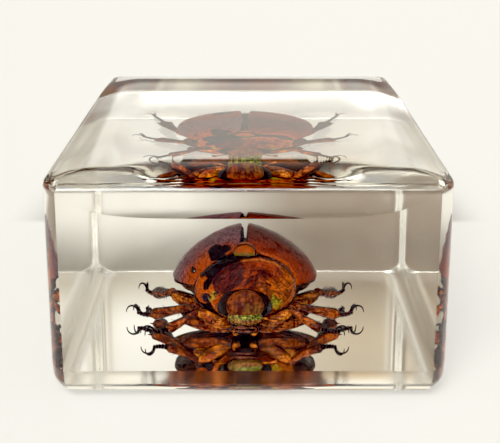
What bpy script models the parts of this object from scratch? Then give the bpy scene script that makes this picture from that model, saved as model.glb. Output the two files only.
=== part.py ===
"""A chafer beetle set in a clear resin block.

Metres, +Z up. The block stands on Z = 0 with the origin under its middle: X is its width, Y its
length, and the beetle faces -Y. The resin is parted in two at the beetle's mid-height, round a pocket
that is open to the parting, and the beetle is one solid.
"""
import math

import bmesh
import bpy
from mathutils import Euler, Matrix, Vector

MM = 0.001

# Block: outer size, corners, edge roundings as (front, side, rear), its crowned top and the pocket in it.
BLOCK_WIDTH = 28.0 * MM
BLOCK_LENGTH = 44.0 * MM
EDGE_HEIGHT = 15.6 * MM
FRONT_CORNER = 4.7 * MM
FRONT_CUT = 1.5 * MM
REAR_CORNER = 1.3 * MM
LEAST_CORNER = 0.4 * MM
BOTTOM_ROUNDING = (2.4 * MM, 1.2 * MM, 0.5 * MM)
TOP_ROUNDING = (0.6 * MM, 0.6 * MM, 0.4 * MM)
ROUNDING_STEPS = 6
CORNER_STEPS = 6
# The rear face leans: its foot stands this much further in than its top.
REAR_DRAFT = 0.8 * MM
CROWN = 0.74 * MM
CROWN_INSETS = (0.5 * MM, 1.1 * MM, 1.8 * MM, 2.7 * MM, 4.0 * MM, 6.0 * MM, 8.5 * MM, 12.0 * MM)
# How the crown falls towards a face: over what length, by what power, and what share of it falls.
FRONT_FALL = (4.5 * MM, 2.55, 1.0)
SIDE_FALL = (3.0 * MM, 2.0, 1.0)
REAR_FALL = (13.0 * MM, 2.0, 0.9)
REAR_SAG = 0.4 * MM
SAG_LENGTH = 13.0 * MM
PARTING_HEIGHT = 3.7 * MM
PARTING_GAP = 0.3 * MM
LEG_POCKET_FLOOR = 0.2 * MM
LEG_POCKET_CLEARANCE = 0.5 * MM
LEG_POCKET_CORNER = 2.0 * MM
DOME_CLEARANCE = 0.6 * MM

# Beetle: the middle of its body and the sizes that the rest follows from.
BODY_X = -0.3 * MM
WING_BASE_Y = -1.7 * MM
WING_TIP_Y = 8.5 * MM
WING_HALF_WIDTH = 5.75 * MM
WING_CREST = 8.2 * MM
WING_RIM = 3.95 * MM
SEAM_GAP = (0.16 * MM, 0.95 * MM)
LEG_SPAN = 20.2 * MM
HEAD_FRONT_Y = -5.5 * MM
HIND_CLAW_Y = 11.4 * MM


def clear_scene():
    for obj in list(bpy.data.objects):
        bpy.data.objects.remove(obj, do_unlink=True)


def material(name, colour, roughness, metallic=0.0, transmission=0.0, ior=1.45):
    made = bpy.data.materials.new(name)
    made.use_nodes = True
    shader = made.node_tree.nodes["Principled BSDF"]
    shader.inputs["Base Color"].default_value = (*colour, 1.0)
    shader.inputs["Roughness"].default_value = roughness
    shader.inputs["Metallic"].default_value = metallic
    shader.inputs["Transmission Weight"].default_value = transmission
    shader.inputs["IOR"].default_value = ior
    return made


def add_object(name, bm, finish, smooth=True):
    """Closes the bmesh into an object of that name, with its faces outward."""
    bmesh.ops.recalc_face_normals(bm, faces=bm.faces)
    mesh = bpy.data.meshes.new(name)
    bm.to_mesh(mesh)
    bm.free()
    for face in mesh.polygons:
        face.use_smooth = smooth
    mesh.materials.append(finish)
    obj = bpy.data.objects.new(name, mesh)
    bpy.context.scene.collection.objects.link(obj)
    return obj


def loft(name, rings, finish, smooth=True):
    """A closed solid over rings with the same number of points, with a flat cap at each end."""
    bm = bmesh.new()
    loops = [[bm.verts.new(point) for point in ring] for ring in rings]
    for near, far in zip(loops, loops[1:]):
        for i in range(len(near)):
            bm.faces.new((near[i - 1], near[i], far[i], far[i - 1]))
    bm.faces.new(loops[0])
    bm.faces.new(loops[-1])
    return add_object(name, bm, finish, smooth)


def ball(name, centre, radii, finish, turn=(0.0, 0.0, 0.0), segments=20, rings=12):
    """An ellipsoid, turned by Euler angles in degrees."""
    bm = bmesh.new()
    bmesh.ops.create_uvsphere(bm, u_segments=segments, v_segments=rings, radius=1.0)
    place = Matrix.LocRotScale(
        Vector(centre), Euler([math.radians(angle) for angle in turn]), Vector(radii)
    )
    bmesh.ops.transform(bm, matrix=place, verts=bm.verts)
    return add_object(name, bm, finish)


# ---------------------------------------------------------------- resin block


def rounded_rectangle(half_x, half_y, radius, height, centre=(0.0, 0.0)):
    """The points of a rectangle with rounded corners, anticlockwise from +X."""
    points = []
    for quarter, (side_x, side_y) in enumerate(((1, 1), (-1, 1), (-1, -1), (1, -1))):
        middle_x = centre[0] + side_x * (half_x - radius)
        middle_y = centre[1] + side_y * (half_y - radius)
        for step in range(CORNER_STEPS + 1):
            angle = math.radians(90.0 * (quarter + step / CORNER_STEPS))
            points.append(
                (middle_x + radius * math.cos(angle), middle_y + radius * math.sin(angle), height)
            )
    return points


def block_outline(insets, height):
    """The block's plan, set in from its (front, side, rear) faces, anticlockwise from +X.

    The front corners are arcs that the flat front face cuts off before they meet it squarely.
    """
    front, side, rear = insets
    rear += REAR_DRAFT * max(1.0 - height / EDGE_HEIGHT, 0.0)
    near_y = front - BLOCK_LENGTH / 2
    tight = max(REAR_CORNER - side, LEAST_CORNER)
    rear_centre = (BLOCK_WIDTH / 2 - side - tight, BLOCK_LENGTH / 2 - rear - tight)
    wide = FRONT_CORNER - side
    front_centre = (BLOCK_WIDTH / 2 - FRONT_CORNER, FRONT_CORNER - FRONT_CUT - BLOCK_LENGTH / 2)
    cut_angle = math.asin((front_centre[1] - near_y) / wide)
    rear_right, front_right = [], []
    for step in range(CORNER_STEPS + 1):
        share = step / CORNER_STEPS
        turn = math.radians(90.0) * share
        rear_right.append(
            (rear_centre[0] + tight * math.cos(turn), rear_centre[1] + tight * math.sin(turn))
        )
        turn = cut_angle * (1.0 - share)
        front_right.append(
            (front_centre[0] + wide * math.cos(turn), front_centre[1] - wide * math.sin(turn))
        )
    rear_left = [(-x, y) for x, y in reversed(rear_right)]
    front_left = [(-x, y) for x, y in reversed(front_right)]
    return [(x, y, height) for x, y in rear_right + rear_left + front_left + front_right]


def inset_at(radius, level):
    """How far a quarter-round edge is set in, `level` away from the face it runs into."""
    left = max(radius - level, 0.0)
    return radius - math.sqrt(radius * radius - left * left)


def rounded_levels(radii):
    """(insets, level) of each ring of a rounded edge, from the face it runs into to its full width."""
    found = []
    for step in range(ROUNDING_STEPS + 1):
        level = max(radii) * (1.0 - math.cos(math.radians(90.0) * step / ROUNDING_STEPS))
        found.append(([inset_at(radius, level) for radius in radii], level))
    return found


def crown_at(x, y):
    """How high the top stands over its edge: level in the middle and falling towards each face."""
    share = 1.0
    for (length, power, part), room in (
        (FRONT_FALL, y + BLOCK_LENGTH / 2 - TOP_ROUNDING[0]),
        (SIDE_FALL, BLOCK_WIDTH / 2 - TOP_ROUNDING[1] - abs(x)),
        (REAR_FALL, BLOCK_LENGTH / 2 - TOP_ROUNDING[2] - y),
    ):
        near = min(max(1.0 - room / length, 0.0), 1.0)
        share *= 1.0 - part * near**power
    return CROWN * share


def sag_at(y):
    """How much lower the top edge lies towards the rear."""
    share = min(max((y - BLOCK_LENGTH / 2 + SAG_LENGTH) / SAG_LENGTH, 0.0), 1.0)
    return REAR_SAG * share**2


def top_rings():
    """The rings of the upper edge and of the crowned top, each point at its own height."""
    rings = []
    for insets, level in reversed(rounded_levels(TOP_ROUNDING)):
        ring = block_outline(insets, EDGE_HEIGHT - level)
        rings.append([(x, y, z + crown_at(x, y) - sag_at(y)) for x, y, z in ring])
    edge = block_outline(TOP_ROUNDING, EDGE_HEIGHT)
    half_x = BLOCK_WIDTH / 2 - TOP_ROUNDING[1]
    half_y = BLOCK_LENGTH / 2 - TOP_ROUNDING[0]
    for inset in CROWN_INSETS:
        ring = [(x * (1.0 - inset / half_x), y * (1.0 - inset / half_y), z) for x, y, z in edge]
        rings.append([(x, y, z + crown_at(x, y) - sag_at(y)) for x, y, z in ring])
    return rings


def drilled(block, *cutters):
    """Takes each cutter out of the block. The cutters stay in the file as wire frames."""
    for cutter in cutters:
        cutter.hide_render = True
        cutter.display_type = "WIRE"
        cut = block.modifiers.new("pocket", "BOOLEAN")
        cut.operation = "DIFFERENCE"
        cut.solver = "EXACT"
        cut.object = cutter


def leg_pocket(finish):
    """The low, flat room that holds the legs and the belly, open at the parting."""
    near = HEAD_FRONT_Y - LEG_POCKET_CLEARANCE
    far = HIND_CLAW_Y + LEG_POCKET_CLEARANCE
    half_x = LEG_SPAN / 2 + LEG_POCKET_CLEARANCE
    middle = (0.0, (near + far) / 2)
    rings = [
        rounded_rectangle(half_x, (far - near) / 2, LEG_POCKET_CORNER, height, middle)
        for height in (LEG_POCKET_FLOOR, PARTING_HEIGHT + PARTING_GAP)
    ]
    return loft("leg_pocket_cutter", rings, finish)


def wing_pocket(finish):
    """The dome over the beetle's back, cut off at the parting."""
    near = HEAD_FRONT_Y - DOME_CLEARANCE / 2
    far = WING_TIP_Y + DOME_CLEARANCE
    radii = (
        WING_HALF_WIDTH + 1.5 * DOME_CLEARANCE,
        (far - near) / 2,
        WING_CREST - PARTING_HEIGHT + DOME_CLEARANCE,
    )
    centre = (BODY_X, (near + far) / 2, PARTING_HEIGHT)
    return ball("wing_pocket_cutter", centre, radii, finish, segments=32, rings=20)


def resin_halves():
    clear = material("clear_resin", (0.96, 0.95, 0.92), 0.03, transmission=1.0, ior=1.52)
    full_width = (0.0, 0.0, 0.0)
    lower_rings = [block_outline(*place) for place in rounded_levels(BOTTOM_ROUNDING)]
    lower_rings.append(block_outline(full_width, PARTING_HEIGHT - PARTING_GAP / 2))
    upper_rings = [block_outline(full_width, PARTING_HEIGHT + PARTING_GAP / 2)] + top_rings()
    lower = loft("resin_block_lower", lower_rings, clear, smooth=False)
    upper = loft("resin_block_upper", upper_rings, clear, smooth=False)
    drilled(lower, leg_pocket(clear))
    drilled(upper, wing_pocket(clear))


# --------------------------------------------------------------------- beetle

WING_STATIONS = 15
WING_ARCH_POINTS = 10
ARCH_POWER = 1.52
WING_LIP = 0.35 * MM
# Along the wing case, from its base (0) to its tip (1): share of the half-width, of the crest's rise.
WING_FORM = (
    (0.0, 0.70, 0.72),
    (0.1, 0.82, 0.86),
    (0.25, 0.96, 0.98),
    (0.4, 1.0, 1.0),
    (0.55, 0.98, 0.94),
    (0.7, 0.92, 0.80),
    (0.82, 0.80, 0.60),
    (0.92, 0.60, 0.36),
    (1.0, 0.30, 0.10),
)

# Legs: each joint as (out from the body's middle, along Y, height) in millimetres, coxa first.
FRONT_LEG = {
    "femur": ((1.0, -2.5, 0.85), (2.3, -2.9, 1.3), (3.65, -2.8, 2.2)),
    "tibia": ((3.65, -2.8, 2.2), (4.9, -3.2, 1.35), (6.1, -3.6, 0.75)),
    "tarsus": ((6.1, -3.6, 0.75), (6.7, -3.9, 0.62), (7.2, -4.15, 0.62)),
}
MIDDLE_LEG = {
    "femur": ((1.3, -1.0, 0.9), (2.7, -1.2, 1.3), (4.1, -1.2, 2.05)),
    "tibia": ((4.1, -1.2, 2.05), (5.9, 0.2, 1.35), (7.45, 1.3, 0.78)),
    "tarsus": ((7.45, 1.3, 0.78), (8.2, 1.9, 0.62), (8.8, 2.4, 0.72)),
}
HIND_LEG = {
    "femur": ((1.4, 1.0, 1.0), (3.8, 1.7, 1.45), (5.95, 3.2, 2.2)),
    "tibia": ((5.95, 3.2, 2.2), (6.7, 5.0, 1.75), (7.25, 6.9, 1.3)),
    "tarsus": ((7.25, 6.9, 1.3), (7.9, 8.6, 0.85), (8.5, 10.1, 0.85)),
}
# Radii along each leg piece, from its near end to its far end, in millimetres.
LEG_RADII = {
    "femur": (0.5, 0.72, 0.4),
    "tibia": (0.3, 0.4, 0.5),
    "tarsus": (0.24, 0.19, 0.17),
}
FRONT_LEG_GAIN = 0.85
MIDDLE_LEG_GAIN = 0.9
HIND_LEG_GAIN = 1.15
HIP_OVERLAP = 0.5
JOINT_SWELL = 1.12
BEAD_SWELL = 1.12
BEAD_WAIST = 0.8
CLAW_REACH = 1.1 * MM
CLAW_LIFT = 0.55 * MM
CLAW_RADIUS = 0.12 * MM
CLAW_SPREAD = 22.0
CLAW_SWEEP = 185.0
CLAW_STEPS = 6
CLAW_ROOT = 0.2 * MM
TUBE_SIDES = 8
TARSUS_BEADS = 5


def along(table, share):
    """The row of a (share, value, value) table at this share, blended between its neighbours."""
    for low, high in zip(table, table[1:]):
        if share <= high[0]:
            part = (share - low[0]) / (high[0] - low[0])
            return [a + (b - a) * part for a, b in zip(low[1:], high[1:])]
    return list(table[-1][1:])


def wing_case(side, finish):
    """One wing case: an arched shell filled down to its rim, with the seam side upright."""
    rings = []
    for station in range(WING_STATIONS):
        share = station / (WING_STATIONS - 1)
        y = WING_BASE_Y + (WING_TIP_Y - WING_BASE_Y) * share
        width_share, rise_share = along(WING_FORM, share)
        width = WING_HALF_WIDTH * width_share
        rise = (WING_CREST - WING_RIM) * rise_share
        seam = (SEAM_GAP[0] + (SEAM_GAP[1] - SEAM_GAP[0]) * share) / 2
        ring = []
        for point in range(WING_ARCH_POINTS):
            x = seam + (width - seam) * math.sin(math.radians(90.0 * point / (WING_ARCH_POINTS - 1)))
            arch = max(1.0 - (x / width) ** ARCH_POWER, 0.0) ** (1.0 / ARCH_POWER)
            ring.append((BODY_X + side * x, y, WING_RIM + rise * arch))
        ring.append((BODY_X + side * (width - WING_LIP), y, WING_RIM - WING_LIP))
        ring.append((BODY_X + side * seam, y, WING_RIM - WING_LIP))
        rings.append(ring)
    name = "left_wing_case" if side < 0 else "right_wing_case"
    return loft(name, rings, finish)


def tube(name, path, radii, finish, sides=TUBE_SIDES):
    """A round solid along a path of points, with its own radius at each of them."""
    rings = []
    side_way = Vector((0.0, 0.0, 1.0))
    for i, point in enumerate(path):
        ahead = path[min(i + 1, len(path) - 1)] - path[max(i - 1, 0)]
        across = ahead.cross(side_way).normalized()
        up = across.cross(ahead).normalized()
        ring = []
        for step in range(sides):
            angle = 2.0 * math.pi * step / sides
            ring.append(point + radii[i] * (math.cos(angle) * across + math.sin(angle) * up))
        rings.append(ring)
    return loft(name, rings, finish)


def smooth_path(points, radii, steps):
    """A quadratic curve through three points, and the radii blended the same way."""
    middle = 2.0 * points[1] - (points[0] + points[2]) / 2
    swell = 2.0 * radii[1] - (radii[0] + radii[2]) / 2
    path, sizes = [], []
    for step in range(steps + 1):
        t = step / steps
        weights = ((1 - t) ** 2, 2 * t * (1 - t), t**2)
        path.append(weights[0] * points[0] + weights[1] * middle + weights[2] * points[2])
        sizes.append(weights[0] * radii[0] + weights[1] * swell + weights[2] * radii[2])
    return path, sizes


def leg_point(side, joint):
    out, y, height = joint
    return Vector((BODY_X + side * out * MM, y * MM, height * MM))


def claw(name, foot, heading, finish):
    """One hooked claw: it leaves the foot along its heading, arches up and turns down to its point."""
    level = Vector((heading.x, heading.y, 0.0)).normalized()
    path, radii = [], []
    for step in range(CLAW_STEPS + 1):
        angle = math.radians(CLAW_SWEEP * step / CLAW_STEPS)
        reach = CLAW_REACH / 2 * (1.0 - math.cos(angle))
        lift = CLAW_LIFT * math.sin(angle)
        path.append(foot + Vector((level.x * reach, level.y * reach, lift)))
        radii.append(CLAW_RADIUS * (1.0 - 0.6 * step / CLAW_STEPS))
    return tube(name, path, radii, finish, sides=6)


def leg(name, side, joints, gain, finishes):
    """Femur, tibia, a beaded tarsus and two claws. Each piece runs a little into the one before it."""
    pieces = []
    for part in ("femur", "tibia"):
        points = [leg_point(side, joint) for joint in joints[part]]
        radii = [radius * gain * MM for radius in LEG_RADII[part]]
        path, sizes = smooth_path(points, radii, 6)
        start = path[0] - (path[1] - path[0]).normalized() * sizes[0] * HIP_OVERLAP
        pieces.append(tube(f"{name}_{part}", [start] + path[1:], sizes, finishes[part]))
        knob = [sizes[-1] * JOINT_SWELL] * 3
        pieces.append(ball(f"{name}_{part}_end", path[-1], knob, finishes[part], segments=8, rings=5))
    points = [leg_point(side, joint) for joint in joints["tarsus"]]
    radii = [radius * MM for radius in LEG_RADII["tarsus"]]
    path, sizes = smooth_path(points, radii, 2 * TARSUS_BEADS)
    sizes = [size * (BEAD_SWELL if i % 2 else BEAD_WAIST) for i, size in enumerate(sizes)]
    pieces.append(tube(f"{name}_tarsus", path, sizes, finishes["tarsus"]))
    heading = (path[-1] - path[-3]).normalized()
    for hand, spread in (("rear", -CLAW_SPREAD), ("fore", CLAW_SPREAD)):
        parted = Matrix.Rotation(math.radians(spread), 3, "Z") @ heading
        root = path[-2] + (parted - heading) * CLAW_ROOT
        pieces.append(claw(f"{name}_{hand}_claw", root, parted, finishes["claw"]))
    return pieces


def body_pieces(finishes):
    """Everything of the beetle but its legs and wing cases."""
    shell, dark, amber, green = (finishes[key] for key in ("shell", "dark", "amber", "green"))
    x = BODY_X
    pieces = [
        ball("thorax", (x, -0.4 * MM, 2.9 * MM), (4.1 * MM, 3.3 * MM, 2.0 * MM), dark),
        ball(
            "pronotum",
            (x, -1.7 * MM, 3.7 * MM),
            (4.0 * MM, 2.55 * MM, 2.75 * MM),
            amber,
            turn=(14.0, 0.0, 0.0),
            segments=24,
            rings=14,
        ),
        ball(
            "scutellum",
            (x, -1.75 * MM, 6.55 * MM),
            (0.95 * MM, 0.95 * MM, 0.55 * MM),
            amber,
            turn=(30.0, 0.0, 0.0),
            segments=12,
            rings=8,
        ),
        ball(
            "head",
            (x, -4.0 * MM, 2.85 * MM),
            (1.9 * MM, 1.15 * MM, 1.5 * MM),
            amber,
            turn=(-18.0, 0.0, 0.0),
        ),
        ball(
            "clypeus",
            (x, -4.75 * MM, 2.05 * MM),
            (1.4 * MM, 0.7 * MM, 0.85 * MM),
            green,
            turn=(-25.0, 0.0, 0.0),
            segments=16,
            rings=10,
        ),
        ball(
            "mouthparts",
            (x, -4.55 * MM, 1.35 * MM),
            (0.85 * MM, 0.6 * MM, 0.6 * MM),
            dark,
            segments=12,
            rings=8,
        ),
        ball("breast", (x, -0.8 * MM, 1.42 * MM), (2.7 * MM, 3.0 * MM, 1.0 * MM), dark),
        ball(
            "tail",
            (x, 6.9 * MM, 3.1 * MM),
            (2.6 * MM, 1.8 * MM, 1.3 * MM),
            shell,
            segments=16,
            rings=10,
        ),
    ]
    for side in (-1, 1):
        hand = "left" if side < 0 else "right"
        pieces.append(
            ball(
                f"{hand}_eye",
                (x + side * 1.65 * MM, -3.95 * MM, 2.75 * MM),
                (0.5 * MM, 0.55 * MM, 0.62 * MM),
                finishes["eye"],
                segments=12,
                rings=8,
            )
        )
        root = Vector((x + side * 1.35 * MM, -4.3 * MM, 1.9 * MM))
        elbow = root + Vector((side * 0.7 * MM, -0.35 * MM, -0.1 * MM))
        club = elbow + Vector((side * 0.75 * MM, 0.1 * MM, -0.2 * MM))
        path, sizes = smooth_path([root, elbow, club], [0.14 * MM, 0.12 * MM, 0.24 * MM], 4)
        pieces.append(tube(f"{hand}_antenna", path, sizes, amber, sides=6))
    return pieces


def beetle():
    finishes = {
        "shell": material("wing_case_brown", (0.30, 0.07, 0.03), 0.25),
        "amber": material("amber_chitin", (0.55, 0.19, 0.03), 0.22),
        "dark": material("dark_underside", (0.06, 0.02, 0.02), 0.35),
        "green": material("green_gold_clypeus", (0.25, 0.33, 0.05), 0.3, metallic=0.7),
        "eye": material("eye_black", (0.01, 0.01, 0.012), 0.12),
    }
    leg_finishes = {
        "femur": finishes["amber"],
        "tibia": finishes["amber"],
        "tarsus": finishes["dark"],
        "claw": finishes["dark"],
    }
    members = body_pieces(finishes)
    for side in (-1, 1):
        members.append(wing_case(side, finishes["shell"]))
        hand = "left" if side < 0 else "right"
        members += leg(f"{hand}_front_leg", side, FRONT_LEG, FRONT_LEG_GAIN, leg_finishes)
        members += leg(f"{hand}_middle_leg", side, MIDDLE_LEG, MIDDLE_LEG_GAIN, leg_finishes)
        members += leg(f"{hand}_hind_leg", side, HIND_LEG, HIND_LEG_GAIN, leg_finishes)

    grown = bpy.data.collections.new("beetle_members")
    bpy.context.scene.collection.children.link(grown)
    for member in members:
        bpy.context.scene.collection.objects.unlink(member)
        grown.objects.link(member)
        member.hide_render = True
        member.display_type = "WIRE"

    abdomen_centre = (BODY_X, 3.4 * MM, 3.3 * MM)
    abdomen_radii = (4.9 * MM, 4.7 * MM, 2.0 * MM)
    whole = ball("beetle", abdomen_centre, abdomen_radii, finishes["dark"], segments=28, rings=14)
    fused = whole.modifiers.new("grown_together", "BOOLEAN")
    fused.operation = "UNION"
    fused.solver = "EXACT"
    fused.operand_type = "COLLECTION"
    fused.collection = grown
    fused.use_self = True
    fused.material_mode = "TRANSFER"


clear_scene()
resin_halves()
beetle()
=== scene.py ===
"""A chafer beetle cast in a clear resin block, dressed for its looks. Metres, +Z up, as in the CAD."""
import math

import bmesh
import bpy
from mathutils import Matrix, Vector


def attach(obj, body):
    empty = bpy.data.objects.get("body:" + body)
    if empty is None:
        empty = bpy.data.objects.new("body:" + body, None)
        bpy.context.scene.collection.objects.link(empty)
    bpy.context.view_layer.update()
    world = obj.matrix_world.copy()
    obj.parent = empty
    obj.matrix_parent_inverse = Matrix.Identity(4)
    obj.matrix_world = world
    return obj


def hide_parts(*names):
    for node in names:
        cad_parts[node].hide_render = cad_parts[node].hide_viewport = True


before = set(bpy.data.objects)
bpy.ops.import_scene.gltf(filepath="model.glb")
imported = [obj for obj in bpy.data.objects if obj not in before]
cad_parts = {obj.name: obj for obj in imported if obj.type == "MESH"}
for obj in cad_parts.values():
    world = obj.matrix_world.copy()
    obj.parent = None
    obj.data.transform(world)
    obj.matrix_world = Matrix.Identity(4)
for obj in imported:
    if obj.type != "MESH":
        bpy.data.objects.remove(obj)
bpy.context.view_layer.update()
MM = 0.001

# ------------------------------------------------------------------ resin block
# One casting of clear, slightly warm resin with rounded lower edges and a softly crowned top. The end in
# front of the beetle was sawn off through the mould's large round corners and polished flat, which leaves
# a crisp line down each front corner and a shallow scoop under the top edge.
HALF_WIDTH = 14.0 * MM
HALF_LENGTH = 22.0 * MM
EDGE_HEIGHT = 15.6 * MM
CROWN = 0.74 * MM
FRONT_CORNER, FRONT_CORNER_STEPS = 4.7 * MM, 40
REAR_CORNER, REAR_CORNER_STEPS = 0.8 * MM, 8
SAWN_OFF = 1.5 * MM
LOWER_FRONT, LOWER_SIDE, LOWER_REAR = 2.5 * MM, 1.2 * MM, 0.02 * MM
FACET_TOP, FACET_END = 2.38 * MM, 1.25 * MM
FACET_TILT = (math.tan(math.radians(12.0)), math.tan(math.radians(22.0)))
TOP_ROUND, TOP_ROUND_REAR = 0.6 * MM, 0.4 * MM
LOWER_LEVELS = (
    2.38, 2.2, 2.0, 1.8, 1.6, 1.42, 1.25, 1.1, 0.95, 0.8, 0.65, 0.52, 0.4, 0.29, 0.19, 0.11, 0.05, 0.012, 0.0,
)
TOP_LEVELS = (0.6, 0.5, 0.4, 0.3, 0.2, 0.12, 0.055, 0.014, 0.0)


def only(obj):
    """Selects one object and nothing else."""
    bpy.ops.object.select_all(action="DESELECT")
    obj.select_set(True)
    bpy.context.view_layer.objects.active = obj


def added(operator, name, **how):
    """Adds a primitive with everything else deselected, and names it."""
    bpy.ops.object.select_all(action="DESELECT")
    operator(**how)
    bpy.context.object.name = name
    return bpy.context.object


def open_edit(obj):
    """Goes into edit mode on one object, with nothing selected."""
    only(obj)
    bpy.ops.object.mode_set(mode="EDIT")
    bpy.ops.mesh.select_all(action="DESELECT")


def pick(kind, wanted):
    """Selects the edges or faces that `wanted` accepts, and nothing else."""
    bpy.ops.mesh.select_mode(type=kind)
    bpy.ops.mesh.select_all(action="DESELECT")
    mesh = bpy.context.edit_object.data
    bm = bmesh.from_edit_mesh(mesh)
    for item in {"EDGE": bm.edges, "FACE": bm.faces}[kind]:
        if wanted(item):
            item.select_set(True)
    bmesh.update_edit_mesh(mesh)


def close_edit():
    bpy.ops.object.mode_set(mode="OBJECT")


def place_in_mesh(obj):
    """Moves an object's place, turn and scale into its mesh."""
    only(obj)
    bpy.ops.object.transform_apply(location=True, rotation=True, scale=True)


def apply_modifiers(obj):
    only(obj)
    for modifier in list(obj.modifiers):
        bpy.ops.object.modifier_apply(modifier=modifier.name)


def make_smooth(obj, angle):
    only(obj)
    bpy.ops.object.shade_smooth_by_angle(angle=math.radians(angle))


def inset_at(radius, rise):
    """How far a quarter-round edge of this radius is set in, `rise` above the face it runs into."""
    left = max(radius - rise, 0.0)
    return radius - math.sqrt(radius * radius - left * left)


def faceted_at(radius, rise):
    """The same for the lower front edge, where a shallow ground facet stands over the rounding."""
    gone = (FACET_TOP - max(rise, FACET_END)) / (FACET_TOP - FACET_END)
    first, last = FACET_TILT
    facet = (FACET_TOP - FACET_END) * (first * gone + (last - first) * gone * gone / 2)
    return facet + inset_at(radius, rise) - inset_at(radius, FACET_END) if rise < FACET_END else facet


def round_off(levels, outer, front, side, rear, way, front_at=inset_at):
    """Extrudes the selected end face level by level along a quarter-round edge, up or down."""
    def insets_at(height):
        return front_at(front, height), inset_at(side, height), inset_at(rear, height)

    level = levels[0] * MM
    insets = insets_at(level)
    for next_level in levels[1:]:
        new_level = next_level * MM
        new = insets_at(new_level)
        long_now = 2 * HALF_LENGTH - insets[0] - insets[2]
        long_new = 2 * HALF_LENGTH - new[0] - new[2]
        middle = (new[0] - new[2]) / 2
        shift = middle - (insets[0] - insets[2]) / 2
        bpy.ops.mesh.extrude_region_move(
            TRANSFORM_OT_translate={"value": (0.0, shift, way * (level - new_level))}
        )
        wide = (HALF_WIDTH - new[1]) / (HALF_WIDTH - insets[1])
        bpy.ops.transform.resize(
            value=(wide, long_new / long_now, 1.0),
            center_override=(0.0, middle, outer - way * new_level),
        )
        level, insets = new_level, new


waist_low = LOWER_LEVELS[0] * MM
waist_high = EDGE_HEIGHT - TOP_LEVELS[0] * MM
block = added(
    bpy.ops.mesh.primitive_cube_add, "resin_block", size=1.0,
    location=(0.0, -SAWN_OFF / 2, (waist_low + waist_high) / 2),
    scale=(2 * HALF_WIDTH, 2 * HALF_LENGTH + SAWN_OFF, waist_high - waist_low),
)
place_in_mesh(block)
open_edit(block)
for end, radius, steps in ((-1, FRONT_CORNER, FRONT_CORNER_STEPS), (1, REAR_CORNER, REAR_CORNER_STEPS)):
    def upright_here(edge):
        a, b = (v.co for v in edge.verts)
        return abs(a.z - b.z) > 5 * MM and a.y * end > 0

    pick("EDGE", upright_here)
    bpy.ops.mesh.bevel(offset=radius, segments=steps, affect="EDGES", clamp_overlap=False)
bpy.ops.mesh.select_all(action="SELECT")
bpy.ops.mesh.bisect(
    plane_co=(0.0, -HALF_LENGTH, 0.0), plane_no=(0.0, 1.0, 0.0), use_fill=True, clear_inner=True
)
pick("FACE", lambda f: f.normal.z < -0.9)
round_off(LOWER_LEVELS, 0.0, LOWER_FRONT, LOWER_SIDE, LOWER_REAR, -1, front_at=faceted_at)
pick("FACE", lambda f: f.normal.z > 0.9)
round_off(TOP_LEVELS, EDGE_HEIGHT, TOP_ROUND, TOP_ROUND, TOP_ROUND_REAR, 1)

# The scoop's lower line is lowest at one place, and climbs from there towards both corners.
FRONT_CREASE = 13.33 * MM
CREASE_CLIMB, CREASE_LOW_X, CREASE_REACH, CREASE_POWER = 1.5 * MM, -0.4 * MM, 12.7 * MM, 5
SCOOP_DEPTH, SCOOP_FALL = 0.126 * MM, 0.37 * MM
# Cuts across the casting, close together where its surface bends.
CUT_X = [x * MM for x in range(-13, 14)] + [s * 13.4 * MM for s in (-1, 1)]
CUT_Y = [(-21.4 + 0.35 * i) * MM for i in range(17)] + [(-15 + 1.5 * i) * MM for i in range(24)]
SCOOP_ROWS = (-0.25, 0.0, 0.06, 0.13, 0.22, 0.33, 0.46, 0.62, 0.82, 1.1, 1.4, 1.7)
CUT_Z = [FRONT_CREASE + row * MM for row in SCOOP_ROWS]
for axis, cuts in ((0, CUT_X), (1, CUT_Y), (2, CUT_Z)):
    for cut in cuts:
        bpy.ops.mesh.select_all(action="SELECT")
        spot, way = [0.0] * 3, [0.0] * 3
        spot[axis], way[axis] = cut, 1.0
        bpy.ops.mesh.bisect(plane_co=spot, plane_no=way, threshold=1e-6)
close_edit()

# How the crown falls towards a face: over what length, by what power, and what share of it falls.
FRONT_FALL, SIDE_FALL, REAR_FALL = (4.5 * MM, 2.55, 1.0), (3.0 * MM, 2.0, 1.0), (13.0 * MM, 2.0, 0.9)
# Towards the front corners the crown stays level for longer and then falls faster.
CORNER_SHORTER, CORNER_FROM, CORNER_OVER = 3.0 * MM, 5.5 * MM, 3.5 * MM
REAR_SAG, SAG_LENGTH, SAG_FROM = 0.4 * MM, 13.0 * MM, 8.0 * MM
REAR_DRAFT, DRAFT_FROM, DRAFT_OVER = 0.8 * MM, 3.0 * MM, 1.5 * MM
HAIR = 0.001 * MM


def held(value):
    return min(max(value, 0.0), 1.0)


def ease(value):
    value = held(value)
    return value * value * (3.0 - 2.0 * value)


def crown_at(x, y):
    """Height of the softly crowned top over its edge: level in the middle and falling towards the rim."""
    front_length, front_power, front_part = FRONT_FALL
    front_length -= CORNER_SHORTER * ease((abs(x) - CORNER_FROM) / CORNER_OVER)
    share = 1.0
    for length, power, part, room in (
        (front_length, front_power, front_part, y + HALF_LENGTH - TOP_ROUND),
        (*SIDE_FALL, HALF_WIDTH - TOP_ROUND - abs(x)),
        (*REAR_FALL, HALF_LENGTH - TOP_ROUND_REAR - y),
    ):
        share *= 1.0 - part * held(1.0 - room / length) ** power
    return CROWN * share


def sag_at(y, z):
    """How much lower the upper part of the block lies towards its rear."""
    near = held((y - HALF_LENGTH + SAG_LENGTH) / SAG_LENGTH)
    return REAR_SAG * near**2 * (z - SAG_FROM) / (EDGE_HEIGHT - SAG_FROM)


def crease_at(x):
    """Height of the scoop's lower line."""
    return FRONT_CREASE + CREASE_CLIMB * min(abs(x - CREASE_LOW_X) / CREASE_REACH, 1.0) ** CREASE_POWER


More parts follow.
